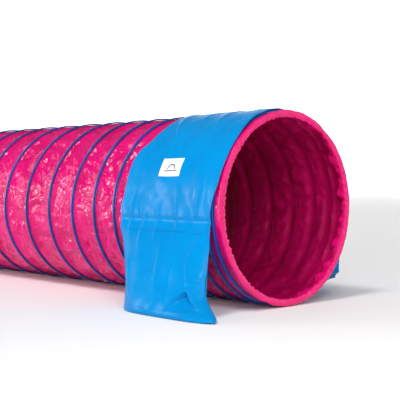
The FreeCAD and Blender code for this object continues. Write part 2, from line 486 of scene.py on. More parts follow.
def angle_at(points):
    """Angle round the tube from the floor, by way of the far side, in turns from 0 to 1."""
    return np.mod(np.arctan2(points[:, 1], AXIS_Z - points[:, 2]) / (2 * math.pi), 1)


def lean(points):
    """Shift points along X: towards the exit at the top, and away from it at the floor."""
    behind = EXIT_RIM - points[:, 0]
    amount = MOST_LEAN * ease(behind, 18 * MM, 110 * MM) * (1 - ease(behind, 160 * MM, 620 * MM))
    out = points.copy()
    out[:, 0] += amount * (points[:, 2] - AXIS_Z) / STRIP_OUT
    return out


print("turns from rim to rim", round(float(turn_at(FAR_RIM) - turn_at(EXIT_RIM)), 2))

# %% [markdown]
# ## The tube's cloth
#
# The real tube is one piece of coated cloth. Here each turn is a piece of its own, because each turn
# travels its own way when the tunnel closes. A piece starts as an open cylinder, is cut into small
# squares, and is then pressed into shape: it sags between the turns of the wire, and creases spread
# over it that die out at the strip, where the sewing holds it flat.

# %% Where creased cloth lies
SQUARE = 4.6 * MM
CLOTH_GAP = 0.3 * MM
CLOTH_THICKNESS = 0.8 * MM
AROUND = int(2 * math.pi * CLOTH_OUT / SQUARE / 4) * 4
MOST_SAG, FOLDS_SET_IN, FOLDS_STAND_OUT = 5.0 * MM, 5.0 * MM, 2.0 * MM
# families of creases: the size of a facet, its depth, a seed, and how facets are stretched
LENGTHWAYS = np.array([0.55, 1.0, 1.0])
CREASES = ((100 * MM, 7.0 * MM, 11, LENGTHWAYS), (52 * MM, 5.2 * MM, 71, LENGTHWAYS),
           (27 * MM, 2.0 * MM, 151, None))


def crease_cloth(points):
    """Move points of a straight tube to where creased cloth lies."""
    turn = turn_at(points[:, 0])
    across = np.mod(turn - angle_at(points), 1)
    spacing = np.interp(turn, TURNS[:-1] + 0.5, -np.diff(stations))
    to_strip = np.minimum(across, 1 - across) * spacing
    free = ease(to_strip, 6 * MM, 22 * MM)
    sag = MOST_SAG * 4 * across * (1 - across) * ease(spacing, 20 * MM, 120 * MM)
    folds = sum(depth * crumple(points, size, seed, 4, way) for size, depth, seed, way in CREASES)
    folds = np.minimum(folds - FOLDS_SET_IN, FOLDS_STAND_OUT)
    outwards_by = free * folds - sag
    centre = np.array([0, 0, AXIS_Z])
    radial = (points - centre) * [0, 1, 1]
    radial /= np.linalg.norm(radial, axis=1)[:, None]
    return points + radial * outwards_by[:, None]


print("squares round the tube", AROUND)

# %% [markdown]
# Each bay's map keeps where every point was on the straight tube, and Solidify copies the map to the
# inner face, which takes the second material: the same cloth darkened as painted shade for the dim
# inside of the tube. A hair's breadth is left between two bays, so that they don't touch at rest. It is
# too narrow to see.

# %% One bay of cloth
def cloth_piece(name, x_low, x_high):
    """A length of the tube, from one plane across it to another."""
    x_low = x_low + CLOTH_GAP
    length = x_high - x_low
    deselect_all()
    bpy.ops.mesh.primitive_cylinder_add(vertices=AROUND, radius=CLOTH_OUT, depth=length,
                                        end_fill_type="NOTHING",
                                        location=((x_low + x_high) / 2, 0, AXIS_Z),
                                        rotation=(0, math.pi / 2, 0))
    piece = named(name)
    settle(piece)
    subdivide_along(piece, 0, max(1, round(length / SQUARE) - 1))
    flat = points_of(piece)
    around = np.stack([angle_at(flat) * 2 * math.pi * CLOTH_OUT, flat[:, 0]], 1)
    set_uv(piece, around)
    put_points(piece, lean(crease_cloth(flat)))
    piece.data.materials.append(TUNNEL_CLOTH)
    # The second slot is the inner face, darkened as painted shade.
    piece.data.materials.append(INNER_CLOTH_PAINTED_SHADE)
    thicken(piece, CLOTH_THICKNESS, inner_slot=1)
    smooth(piece, math.radians(60))
    return piece


exit_cloth = cloth_piece("exit_cloth", stations[len(GATHERED)], EXIT_RIM - CUFF_LENGTH / 2)
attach(exit_cloth, "exit_end")
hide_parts("exit_fabric")
print("the exit's cloth has", len(exit_cloth.data.polygons), "faces")

# %% [markdown]
# When the tunnel closes, each turn travels a little further than the one before it. Here the other
# bays are made at rest between their stations, and each piece's place is put into its mesh.

# %% How a turn gathers
def straight_place(piece):
    """Where each point was along the straight tube, read back from the cloth's own map."""
    mesh = piece.data
    corner = np.empty(len(mesh.loops), int)
    mesh.loops.foreach_get("vertex_index", corner)
    uv = np.empty(len(mesh.loops) * 2)
    mesh.uv_layers.active.data.foreach_get("uv", uv)
    place = np.zeros(len(mesh.vertices))
    place[corner] = uv[1::2]
    return place


def ends_of_turn(number):
    """Where a moving turn starts, on the exit's side, and where it ends."""
    first = len(GATHERED) + number - 1
    return stations[first], stations[first + 1]


def gather_evenly(piece):
    """Put a moving turn's place into its mesh. Nothing here makes it stretch."""
    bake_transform(piece)


# %% The other bays
for number, bay in enumerate(BAYS, start=1):
    x_high, x_low = ends_of_turn(number)
    piece = cloth_piece("cloth_%02d" % number, x_low, x_high)
    share = (x_high - straight_place(piece)) / (x_high - x_low)
    gather_evenly(piece)
    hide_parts(bay)

far_cloth = cloth_piece("far_cloth", FAR_RIM + CUFF_LENGTH / 2, stations[-2])
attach(far_cloth, "far_end")
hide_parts("far_fabric")
print("cloth pieces", len(BAYS) + 2)

# %% [markdown]
# ## The wear strip and the wire
#
# A strip of coated tape is sewn over the wire with a flange on each side, so its section is a low hat.
# A helix is best made with the Screw modifier: the section is drawn once at the floor, and the modifier
# carries it round the tube while it travels along it. A curve with a bevel would twist.

# %% The two sections
WIRE_RADIUS = 1.5 * MM
FLANGE_RISE, CROWN_HALF = 0.9 * MM, 3.6 * MM


def strip_section():
    """Half-round crown between two flanges, as (along, radius) points."""
    half, crown = STRIP_WIDTH / 2, CROWN_HALF
    flange = STRIP_IN + FLANGE_RISE
    points = [(-half, STRIP_IN), (-half, flange), (-crown - 0.8 * MM, flange)]
    for step in range(9):
        a = math.pi * step / 8
        points.append((-crown * math.cos(a), flange + (STRIP_OUT - flange) * math.sin(a) ** 0.8))
    points += [(crown + 0.8 * MM, flange), (half, flange), (half, STRIP_IN)]
    points += [(2.4 * MM, STRIP_IN), (2.0 * MM, STRIP_OUT - 1 * MM),
               (-2.0 * MM, STRIP_OUT - 1 * MM), (-2.4 * MM, STRIP_IN)]
    return points


def wire_section():
    """A round wire that lies in the strip's hollow."""
    centre = STRIP_IN + 1.9 * MM
    steps = [2 * math.pi * k / 12 for k in range(12)]
    return [(WIRE_RADIUS * math.sin(a), centre + WIRE_RADIUS * math.cos(a)) for a in steps]


print("points in the strip's section", len(strip_section()), "and in the wire's", len(wire_section()))

# %% [markdown]
# The Screw modifier leaves the two ends of a turn open, so their holes are filled, and the normals are
# recalculated once the shape is closed. A moving turn's map records how far round it each point is.

# %% One turn
def screw_turn(name, section, x_start, pitch, steps):
    """Carry a section once round the tube, from the floor and away from the exit."""
    deselect_all()
    bpy.ops.mesh.primitive_circle_add(vertices=len(section), radius=0.01,
                                      fill_type="NOTHING", location=(x_start, 0, AXIS_Z))
    turn = named(name)
    put_points(turn, [(along, 0, -radius) for along, radius in section])
    screw = turn.modifiers.new("once round", "SCREW")
    screw.axis = "X"
    screw.angle = 2 * math.pi
    screw.screw_offset = -pitch
    screw.steps = steps
    screw.render_steps = steps
    screw.use_normal_calculate = True
    apply_modifiers(turn)
    bpy.ops.object.mode_set(mode="EDIT")
    bpy.ops.mesh.select_all(action="SELECT")
    bpy.ops.mesh.fill_holes(sides=0)
    bpy.ops.object.mode_set(mode="OBJECT")
    settle(turn)
    outwards(turn)
    return turn


def wound_share(points, x_start, pitch):
    """How far round its turn each point is, from 0 at the exit's side to 1."""
    angle = angle_at(points)
    by_place = (x_start - points[:, 0]) / pitch
    return angle + np.round(by_place - angle)


def coat_turn(turn, material):
    """Shade and colour a turn."""
    smooth(turn, math.radians(40))
    turn.data.materials.append(material)


def moving_turn(kind, number, section, material, slot, steps):
    """A turn between two stations, made as a piece of its own."""
    x_start, x_end = ends_of_turn(number)
    turn = screw_turn("%s_turn_%02d" % (kind, number), section, x_start, x_start - x_end, steps)
    flat = points_of(turn)
    share = wound_share(flat, x_start, x_start - x_end)
    set_uv(turn, np.stack([share * 2 * math.pi * STRIP_OUT, flat[:, 0]], 1))
    put_points(turn, lean(flat))
    coat_turn(turn, material)
    gather_evenly(turn)
    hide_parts("%s_%02d" % (kind, number))


def join(parts, name):
    """Make one object of several."""
    deselect_all()
    for part in parts:
        part.select_set(True)
    bpy.context.view_layer.objects.active = parts[0]
    bpy.ops.object.join()
    return named(name)


def end_turns(kind, end, turns, section, material, slot, steps):
    """The turns that stay with one end of the tunnel, joined."""
    parts = []
    for k in turns:
        pitch = stations[k] - stations[k + 1]
        part = screw_turn("%s %s part" % (end, kind), section, stations[k], pitch, steps)
        put_points(part, lean(points_of(part)))
        parts.append(part)
    joined = join(parts, "%s_%s_turns" % (end, kind))
    placed = points_of(joined)
    set_uv(joined, np.stack([angle_at(placed) * 2 * math.pi * STRIP_OUT, placed[:, 0]], 1))
    coat_turn(joined, material)
    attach(joined, end + "_end")
    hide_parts("%s_%s" % (end, kind))


print("each turn's strip is", round(2 * math.pi * STRIP_OUT, 3), "m long")

# %% [markdown]
# The wire is plain drawn steel, with fine variation in its gloss. The strip covers it, but it is what
# holds the real tunnel open, so it is made in full.

# %% Strips and wires of every turn
SPRING_STEEL, steel_tree, steel_shader = new_material("drawn spring wire", (0.52, 0.52, 0.54),
                                                      0.35, Metallic=1.0)
steel_where = steel_tree.nodes.new("ShaderNodeTexCoord").outputs["Object"]
varied_gloss(steel_tree, steel_shader, 0.28, 0.45, 300.0, steel_where)

LAST_TURN = len(stations) - 2
KINDS = (("wear_strip", strip_section(), STRIP_COAT, "wear_strip", 192),
         ("spring_wire", wire_section(), SPRING_STEEL, "spring_steel", 96))

for kind, *look in KINDS:
    end_turns(kind, "exit", range(len(GATHERED)), *look)
    end_turns(kind, "far", [LAST_TURN], *look)
    for number in range(1, len(BAYS) + 1):
        moving_turn(kind, number, *look)
    print(kind, "turns that move", len(BAYS), "and that stay", len(GATHERED) + 1)

# %% [markdown]
# ## The rolled cuffs
#
# At each mouth the cloth is rolled round a hoop. A torus is the natural start, squeezed so that its
# section is deeper than it is long. Short creases run across the roll, where the cloth has less way to
# go on the inside than on the outside.

# %% The surface of a roll
CUFF_IN = STRIP_OUT - 28 * MM
MIDDLE = (CUFF_IN + STRIP_OUT) / 2
HALF_DEPTH = (STRIP_OUT - CUFF_IN) / 2
ROLL_MARGIN = 0.4 * MM
ROLL_SQUARENESS = 0.55
PUCKER = 2.3 * MM


def roll_surface(around, section, x_middle, towards, seed):
    """Points of a roll. section turns from its outer side by way of its face to its inner side."""
    cos, sin = np.cos(section), np.sin(section)
    out = np.sign(cos) * np.abs(cos) ** ROLL_SQUARENESS
    fore = np.sign(sin) * np.abs(sin) ** ROLL_SQUARENESS
    ring = np.stack([np.cos(around), np.sin(around), 0 * around], 1)
    swell = 1.2 * MM * soft_noise(ring, 0.35, seed) + 0.7 * MM * soft_noise(ring, 0.12, seed + 1)
    creased = ease(soft_noise(ring, 0.3, seed + 2), -0.5, 0.8)
    slant = around * MIDDLE + 6 * MM * sin + 3 * MM * soft_noise(ring, 0.2, seed + 3)
    creases = pleat(slant / (23 * MM)) * creased + 0.5 * pleat(slant / (12.5 * MM) + 0.3)
    inner_side = ease(-cos, -0.7, 0.7)
    puckers = np.minimum(PUCKER * (creases - 0.9) * (0.3 + inner_side), 0)
    reach = MIDDLE + out * (HALF_DEPTH - ROLL_MARGIN - np.abs(swell)) + puckers * out
    length = fore * (CUFF_LENGTH / 2 - ROLL_MARGIN) + puckers * fore
    return np.stack([x_middle + towards * length, np.sin(around) * reach,
                     AXIS_Z - np.cos(around) * reach], 1)


print("the cuff's inner radius", round(CUFF_IN, 4), "and its depth", round(2 * HALF_DEPTH, 4))

# %% [markdown]
# The hoop inside each cuff is a plain steel ring. Its CAD shape is right, so it stays and only gets a
# better finish.

# %% The two cuffs
def cuff_piece(name, x_low, towards, seed):
    """A torus, pressed into the roll's shape. towards is the way that its face looks along X."""
    x_middle = x_low + CUFF_LENGTH / 2
    deselect_all()
    bpy.ops.mesh.primitive_torus_add(major_radius=MIDDLE, minor_radius=HALF_DEPTH,
                                     major_segments=600, minor_segments=36,
                                     location=(x_middle, 0, AXIS_Z),
                                     rotation=(0, math.pi / 2, 0))
    roll = named(name)
    settle(roll)
    rel = points_of(roll) - [x_middle, 0, AXIS_Z]
    around = np.arctan2(rel[:, 1], -rel[:, 2])
    section = np.arctan2(rel[:, 0] * towards, np.linalg.norm(rel[:, 1:], axis=1) - MIDDLE)
    set_uv(roll, np.stack([around * MIDDLE, section * HALF_DEPTH], 1))
    put_points(roll, roll_surface(around, section, x_middle, towards, seed))
    smooth(roll)
    roll.data.materials.append(CUFF_CLOTH)
    outwards(roll)
    return roll


exit_roll = cuff_piece("exit_cuff_roll", EXIT_RIM - CUFF_LENGTH, 1, 301)
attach(exit_roll, "exit_end")
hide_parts("exit_cuff")
far_roll = cuff_piece("far_cuff_roll", FAR_RIM, -1, 341)
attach(far_roll, "far_end")
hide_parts("far_cuff")
for hoop in ("exit_end_ring", "far_end_ring"):
    frame["nodes"][hoop].material_slots[0].material = SPRING_STEEL
print("points in a cuff", len(exit_roll.data.vertices))

# %% [markdown]
# The raw edge of the rolled cloth hangs loose behind the roll. It is a narrow band, and its free edge
# waves in and out and is cut unevenly.

# %% The loose hem behind each cuff
HEM_WIDTH = 26 * MM
HEM_RADIUS = CUFF_IN + 4 * MM


def hem_piece(name, x_roll, inwards, seed):
    """A band from the roll's inner edge into the tunnel. inwards is -1 at the exit."""
    deselect_all()
    bpy.ops.mesh.primitive_cylinder_add(vertices=480, radius=HEM_RADIUS, depth=HEM_WIDTH,
                                        end_fill_type="NOTHING",
                                        location=(x_roll + inwards * HEM_WIDTH / 2, 0, AXIS_Z),
                                        rotation=(0, math.pi / 2, 0))
    hem = named(name)
    settle(hem)
    subdivide_along(hem, 0, 7)
    flat = points_of(hem)
    free = (flat[:, 0] - x_roll) * inwards / HEM_WIDTH
    around = angle_at(flat) * 2 * math.pi
    ring = np.stack([np.cos(around), np.sin(around), 0 * around], 1)
    set_uv(hem, np.stack([around * CUFF_IN, flat[:, 0]], 1))
    radial = (flat - [0, 0, AXIS_Z]) * [0, 1, 1] / HEM_RADIUS
    cut = 0.72 + 0.28 * np.clip(soft_noise(ring, 0.25, seed), -1, 1)
    wave = 4.5 * MM * soft_noise(ring, 0.16, seed + 1) + 2 * MM * soft_noise(ring, 0.07, seed + 2)
    outward = free * (5 * MM + np.clip(wave, -7 * MM, 9 * MM))
    moved = flat + radial * outward[:, None]
    moved[:, 0] = x_roll + inwards * free * HEM_WIDTH * cut
    put_points(hem, moved)
    thicken(hem, CLOTH_THICKNESS)
    smooth(hem)
    hem.data.materials.append(CUFF_CLOTH)
    return hem


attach(hem_piece("exit_hem", EXIT_RIM - CUFF_LENGTH * 0.6, -1, 401), "exit_end")
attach(hem_piece("far_hem", FAR_RIM + CUFF_LENGTH * 0.6, 1, 441), "far_end")

# %% [markdown]
# ## The shape of the draped saddle
#
# The saddle is one strap of heavy coated cloth. It lies over the tube, hangs down each side, and is
# folded up at its foot and sewn at its edges to make a pocket for sand. Hanging a simulated sheet over
# the tube would work, but the sand, the seams and the lean of each leg would all have to be fought for.
# One function that says where the cloth lies is easier to steer. It takes a share of the width, and a
# distance along the strap from the crown, and the cloth, flaps, label and stitches all ask it.

# %% The strap's path from the crown to the pocket's mouth
SADDLE_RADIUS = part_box("saddle_panel")[1].z - AXIS_Z - 0.6 * MM
BAG_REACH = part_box("far_bag")[1].y
POCKET_TOP = 262 * MM
CROWN_ARC = SADDLE_RADIUS * math.pi / 2


def smooth_line(points, step=2 * MM):
    """A smooth line through a few points: a Catmull-Rom spline, sampled evenly."""
    p = np.array(points, float)
    p = np.vstack([2 * p[0] - p[1], p, 2 * p[-1] - p[-2]])
    out = []
    for a, b, c, d in zip(p, p[1:], p[2:], p[3:]):
        t = np.linspace(0, 1, max(2, int(np.linalg.norm(c - b) / step)), endpoint=False)[:, None]
        out.append(0.5 * (2 * b + (c - a) * t + (2 * a - 5 * b + 4 * c - d) * t ** 2
                          + (3 * b - a - 3 * c + d) * t ** 3))
    return np.vstack(out + [p[-2][None]])


def from_reach(inside, height):
    """A point of the bag's side view, as a distance in from its outermost face."""
    return BAG_REACH - inside * MM, height * MM


crown = [(SADDLE_RADIUS * math.sin(a), AXIS_Z + SADDLE_RADIUS * math.cos(a))
         for a in np.radians(np.arange(0, 91, 6))]
hanging = [(SADDLE_RADIUS + 1 * MM, 285 * MM), (SADDLE_RADIUS + 2 * MM, POCKET_TOP)]
FRONT = [from_reach(84, 205), from_reach(34, 120), from_reach(1, 58), from_reach(-13, 26),
         from_reach(-16, 9)]
FOLD = [from_reach(-8, 1.2), from_reach(30, 1.2), from_reach(66, 2), from_reach(82, 14)]
BACK = [from_reach(92, 70), from_reach(105, 130), from_reach(116, 190), from_reach(118, 250)]
PATH = smooth_line(crown + hanging + FRONT + FOLD + BACK)
PATH_ARC = np.concatenate([[0], np.cumsum(np.linalg.norm(np.diff(PATH, axis=0), axis=1))])
STRAP_LENGTH = PATH_ARC[-1]
LOWEST = PATH_ARC[np.argmax(PATH[:, 0])]
print("half strap", round(STRAP_LENGTH, 3), "m long, outermost at", round(LOWEST, 3))


def path_at(arc):
    """How far out and how high the strap is, at a distance along it."""
    return np.interp(arc, PATH_ARC, PATH[:, 0]), np.interp(arc, PATH_ARC, PATH[:, 1])


# %% [markdown]
# The side seams run halfway between the front and the back of the pocket. The strap isn't a straight
# band: each leg leans, and its edges run in and out. So each edge is given as a few heights, with its
# distance along the tunnel from the exit rim, and a short average rounds the bends between them.

# %% The strap's seams and edges
SEAM_HEIGHTS = np.array([0, 20, 55, 120, 200, 262, 307]) * MM
SEAM_REACH = BAG_REACH - np.array([15, 30, 46, 69, 101, 117, 118]) * MM

EDGE_HEIGHTS = np.array([0, 30, 60, 96, 150, 240, 292, 311, 340, 377, 456, 492, 525, 560, 620])
NEAR_LEFT = np.array([-306, -318, -330, -349, -384, -441, -449, -451, -442, -436, -436, -426,
                      -396, -390, -394])
NEAR_RIGHT = np.array([90, 46, 15, 5, -10, -32, -38, -37, -29, -18, -12, -12, -12, -20, -36])
FAR_LEFT = np.array([-500, -494, -488, -482, -470, -448, -442, -440, -438, -436, -430, -428,
                     -420, -404, -394])
FAR_RIGHT = np.array([-150, -128, -108, -98, -78, -44, -36, -34, -30, -24, -18, -18, -22, -30, -36])


def edges(height, side):
    """Where the strap's left and right edges are along X, at each height."""
    left, right = (NEAR_LEFT, NEAR_RIGHT) if side < 0 else (FAR_LEFT, FAR_RIGHT)
    line = np.linspace(0, 620, 125)
    soft = np.array([0.06, 0.24, 0.4, 0.24, 0.06])
    out = []
    for edge in (left, right):
        dense = np.interp(line, EDGE_HEIGHTS, edge)
        dense = np.convolve(np.pad(dense, 2, mode="edge"), soft, "valid")
        out.append(EXIT_RIM + np.interp(height / MM, line, dense) * MM)
    return out


near_foot = edges(np.array([0.0]), -1)
print("the near foot runs from x", [round(float(edge[0]), 3) for edge in near_foot])

# %% [markdown]
# A heavy coated cloth shows a few long, soft folds, and these are what the eye remembers. Each is a
# line on the strap: the share of the width and the height where it starts, the same where it ends, its
# width, and how far it rises, in millimetres. The near foot also has a flat facet at its corner, where
# the sand doesn't fill the pocket.

# %% Folds in the strap
NEAR_FOLDS = ((0.98, 262, 0.80, 150, 7, 5), (0.80, 150, 0.84, 90, 9, -4),
              (0.99, 112, 0.84, 96, 7, 5), (0.84, 90, 0.98, 62, 7, -5), (0.30, 300, 0.24, 170, 14, 4),
              (0.14, 372, 0.12, 190, 12, 4), (0.45, 330, 0.43, 200, 13, 4), (0.20, 380, 0.26, 235, 9, -3),
              (0.62, 350, 0.66, 215, 14, 3.5), (0.84, 380, 0.86, 260, 11, 3.5),
              (0.52, 220, 0.50, 60, 16, 3), (0.70, 190, 0.62, 40, 14, -3), (0.10, 160, 0.16, 30, 12, 3),
              (0.10, 600, 0.30, 520, 11, 3.5), (0.35, 612, 0.44, 545, 9, 3), (0.58, 610, 0.70, 530, 9, 3),
              (0.02, 560, 0.20, 480, 9, -3.5), (0.80, 612, 0.90, 520, 9, 2.5))
FAR_FOLDS = ((0.10, 330, 0.16, 180, 13, 4), (0.34, 350, 0.30, 190, 14, 4), (0.60, 340, 0.64, 170, 13, 4),
             (0.86, 320, 0.80, 120, 12, 5), (0.92, 130, 0.76, 60, 9, -6), (0.06, 120, 0.24, 50, 10, -5),
             (0.22, 600, 0.36, 520, 10, 3), (0.56, 600, 0.48, 530, 10, 3), (0.84, 600, 0.76, 500, 10, 3))
STRAP_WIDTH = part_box("saddle_panel")[1].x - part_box("saddle_panel")[0].x
FACET_DEPTH = 26 * MM


def fold_rise(share, height, folds):
    """Soft ridges, each along a line and fading out at its two ends."""
    total = np.zeros(len(share))
    across, up = share * STRAP_WIDTH / MM, height / MM
    for u0, z0, u1, z1, width, rise in folds:
        start = np.array([u0 * STRAP_WIDTH / MM, z0])
        along = np.array([u1 * STRAP_WIDTH / MM, z1]) - start
        length = np.linalg.norm(along)
        along /= length
        a = (across - start[0]) * along[0] + (up - start[1]) * along[1]
        off = (across - start[0]) * along[1] - (up - start[1]) * along[0]
        fade = ease(a, -0.15 * length, 0.3 * length) * (1 - ease(a, 0.65 * length, 1.1 * length))
        sharp = 1 / (1 + np.abs(off / width) ** 1.6) ** 2
        total += rise * fade * sharp
    return total * MM


def pressed_facet(share, height):
    """A flat corner facet, pushed in most at its upper tip."""
    corners = np.array([[0.58 * STRAP_WIDTH, 24 * MM], [0.97 * STRAP_WIDTH, 24 * MM],
                        [0.86 * STRAP_WIDTH, 82 * MM]])
    a, b, c = corners
    here = np.stack([share * STRAP_WIDTH, height], 1)
    whole = np.cross(b - a, c - a)
    near_tip = np.cross(b - a, here - a) / whole
    near_left = np.cross(c - b, here - b) / whole
    near_right = np.cross(a - c, here - c) / whole
    inside = ease(np.minimum(np.minimum(near_left, near_right), near_tip), 0, 0.09)
    return -FACET_DEPTH * np.clip(near_tip + 0.1, 0, 1) * inside


print("folds on the near half", len(NEAR_FOLDS), "and on the far half", len(FAR_FOLDS))

# %% [markdown]
# Last, all of it comes together. A point starts on the path. The sewn edges draw in, the corners of the
# foot lift where no sand holds them down, and the folds, lumps and ripples move it square to the path.
# Over the tube the cloth may sink a little between two strips, but never into them.

# %% Where the cloth lies
FAR_FOOT_LIFT, NEAR_FOOT_LIFT = 46 * MM, 4 * MM
DEEPEST_ON_TUBE = 1.4 * MM
LUMPS_LEAN = np.array([1.4, 1, 0.7])


def drape(share, arc, side, lift=0.0):
    """Points of the strap. side is -1 for the near half and 1 for the far one."""
    share, arc = np.asarray(share, float), np.asarray(arc, float)
    reach, height = path_at(arc)
    seam = np.interp(height, SEAM_HEIGHTS, SEAM_REACH)
    left, right = edges(height, side)
    x = left + (right - left) * share
    from_middle = np.abs(2 * share - 1)
    full = np.clip(1 - from_middle ** 3.4, 0, 1) ** 0.62
    in_pocket = 1 - ease(height, POCKET_TOP - 30 * MM, POCKET_TOP + 10 * MM)
    reach = reach + in_pocket * (seam - reach) * (1 - full)
    foot = in_pocket * (1 - ease(height, 0, 90 * MM))
    if side < 0:
        height = height + NEAR_FOOT_LIFT * foot * ease(from_middle, 0.8, 1.0)
    else:
        height = height + FAR_FOOT_LIFT * foot * ease(share, 0.62, 1.0)

    folds = NEAR_FOLDS if side < 0 else FAR_FOLDS
    front = arc < LOWEST
    rise = fold_rise(share, height, folds) * front
    if side < 0:
        rise = rise + pressed_facet(share, height) * front
    place = np.stack([x, side * reach, height], 1)
    seed = 500 if side < 0 else 560
    slack = ease(arc, CROWN_ARC * 0.8, LOWEST)
    lumps = (1.8 * MM * slack * crumple(place, 120 * MM, seed, 4, LUMPS_LEAN)
             + 0.5 * MM * crumple(place, 60 * MM, seed + 7, 4, LUMPS_LEAN))
    lumps *= 0.35 + 0.65 * slack
    ripple = 1.0 * MM * soft_noise(place, 70 * MM, seed + 20)
    on_tube = 1 - ease(arc, CROWN_ARC * 0.75, CROWN_ARC * 1.05)
    between = np.mod(turn_at(x) - angle_at(np.stack([x, side * reach, height], 1)), 1)
    sag = -2.2 * MM * 4 * between * (1 - between) * on_tube
    grounded = ease(height, 1 * MM, 14 * MM)
    out = (rise + lumps + ripple + sag) * np.where(front, grounded, 0.3 * grounded) + lift
    out = np.where(on_tube > 0.5, np.maximum(out, lift - DEEPEST_ON_TUBE), out)

    ahead_reach, ahead_height = path_at(arc + MM)
    behind_reach, behind_height = path_at(arc - MM)
    normal_y = side * (behind_height - ahead_height)
    normal_z = ahead_reach - behind_reach
    size = np.maximum(np.hypot(normal_y, normal_z), 1e-9)
    place[:, 1] += out * normal_y / size
    place[:, 2] = height + out * normal_z / size
    place[:, 2] = np.maximum(place[:, 2], 0.4 * MM)
    return place


crown_point = drape([0.5], [0.0], -1)[0]
print("the middle of the crown lies at", [round(float(v), 3) for v in crown_point])

# %% [markdown]
# Each half of the saddle starts as a flat grid, and the function lays it. The halves meet at the crown.
# The pocket's side edges are held together by the seam.

# %% The two halves of the saddle
CLOTH_SHEET = 1.2 * MM


def strap_half(name, side):
    """Lay a flat grid as half of the strap, from the crown to the foot and up the back."""
    deselect_all()
    bpy.ops.mesh.primitive_grid_add(x_subdivisions=100, y_subdivisions=290, size=1,
                                    location=(0.5, 0.5, 0))
    half = named(name)
    settle(half)
    flat = points_of(half)
    share, arc = flat[:, 0], flat[:, 1] * STRAP_LENGTH
    set_uv(half, np.stack([share * STRAP_WIDTH, arc], 1))
    put_points(half, drape(share, arc, side))
    if side < 0:
        turn_round(half)
    thicken(half, CLOTH_SHEET)
    smooth(half, math.radians(50))
    half.data.materials.append(SADDLE_CLOTH)
    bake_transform(half)
    return half


near_strap = strap_half("saddle_near_half", -1)
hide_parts("saddle_panel", "near_bag")
far_strap = strap_half("saddle_far_half", 1)
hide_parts("far_bag")
for strap in (near_strap, far_strap):
    low, high = strap.bound_box[0], strap.bound_box[6]
    print(strap.name, "from", [round(v, 3) for v in low], "to", [round(v, 3) for v in high])

# %% [markdown]
# ## The sand
#
# The sand isn't seen, but it is what the bag holds, so it has a shape of its own: a slumped heap inside
# the pocket. Remeshing a copy of the CAD's room gives it even points, and noise makes its surface
# lumpy.

# %% Room in the pockets
SAND = speckled("dry sand", (0.62, 0.5, 0.33), 0.95, (0.42, 0.32, 0.2), (0.74, 0.62, 0.44), 900.0)[0]
SAND_LEVEL = 0.84
SAND_BEHIND_FRONT, SAND_BEFORE_BACK = 28 * MM, 9 * MM


def share_of_room(values, heights):
    """Where each value lies between the lowest and the highest one at its height."""
    level = np.round(heights / (12 * MM)).astype(int)
    low, high = np.full(level.max() + 1, np.inf), np.full(level.max() + 1, -np.inf)
    np.minimum.at(low, level, values)
    np.maximum.at(high, level, values)
    return np.clip((values - low[level]) / np.maximum(high - low, MM)[level], 0, 1)


def into_pocket(points, side, seed):
    """Move the heap's points into the room between the pocket's front and back."""
    height = points[:, 2] * SAND_LEVEL
    reach = np.abs(points[:, 1])
    share = 0.08 + (0.84 if side < 0 else 0.62) * share_of_room(points[:, 0], points[:, 2])
    deep = share_of_room(reach, points[:, 2])
    left, right = edges(height, side)
    front_arc, back_arc = PATH_ARC <= LOWEST, PATH_ARC > PATH_ARC[np.argmin(PATH[:, 1])]
    front = np.interp(-height, -PATH[front_arc][:, 1], PATH[front_arc][:, 0])
    back = np.interp(height, PATH[back_arc][:, 1], PATH[back_arc][:, 0])
    seam = np.interp(height, SEAM_HEIGHTS, SEAM_REACH)
    full = np.clip(1 - np.abs(2 * share - 1) ** 3.4, 0, 1) ** 0.62
    front = seam + (front - seam) * full - SAND_BEHIND_FRONT
    back = seam + (back - seam) * full + SAND_BEFORE_BACK
    middle = (front + back) / 2
    room = np.maximum(front - back, 3 * MM) * (deep - 0.5)
    lumps = 1.2 * MM * soft_noise(points, 60 * MM, seed)
    return np.stack([left + (right - left) * share, side * (middle + room),
                     np.maximum(height + lumps, 5 * MM)], 1)


print("sand is set back", SAND_BEHIND_FRONT, "m from the pocket's front")

# %% [markdown]
# The CAD's sand is a plain solid. A voxel remesh of a copy gives it even points to move.

# %% Sand in each pocket
def sand_fill(name, node_name, side, body, seed):
    """Fit a copy of the CAD's sand into the pocket as it really hangs."""
    deselect_all()
    source = frame["nodes"][node_name]
    fill = bpy.data.objects.new(name, source.data.copy())
    bpy.context.collection.objects.link(fill)
    fill.data.name = name
    remesh = fill.modifiers.new("even points", "REMESH")
    remesh.mode = "VOXEL"
    remesh.voxel_size = 7 * MM
    apply_modifiers(fill)
    put_points(fill, into_pocket(points_of(fill), side, seed))
    smooth(fill)
    fill.data.materials.clear()
    fill.data.materials.append(SAND)
    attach(fill, body)
    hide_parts(node_name)
    print(name, "has", len(fill.data.vertices), "points")


sand_fill("near_sand_fill", "near_sand", -1, "near_leg", 611)
sand_fill("far_sand_fill", "far_sand", 1, "far_leg", 621)

# %% [markdown]
# ## The flaps, hems and stitches
#
# A flap covers each pocket's mouth. It is sewn along its top edge and lies flat on the strap. Its
# points come from the same function, lifted by the thickness of the cloth. A line of stitches is one
# stitch, repeated by an Array modifier along a straight row and then laid on the cloth.

# %% Flaps
FLAP_TOP, FLAP_FOOT = 292 * MM, 238 * MM
FLAP_SHARE = 0.96
FLAP_THICKNESS = 0.5 * MM


def arc_at_height(height):
    """Distance along the strap to a height on its way down."""
    front = PATH_ARC <= LOWEST
    return float(np.interp(-height, -PATH[front][:, 1], PATH_ARC[front]))


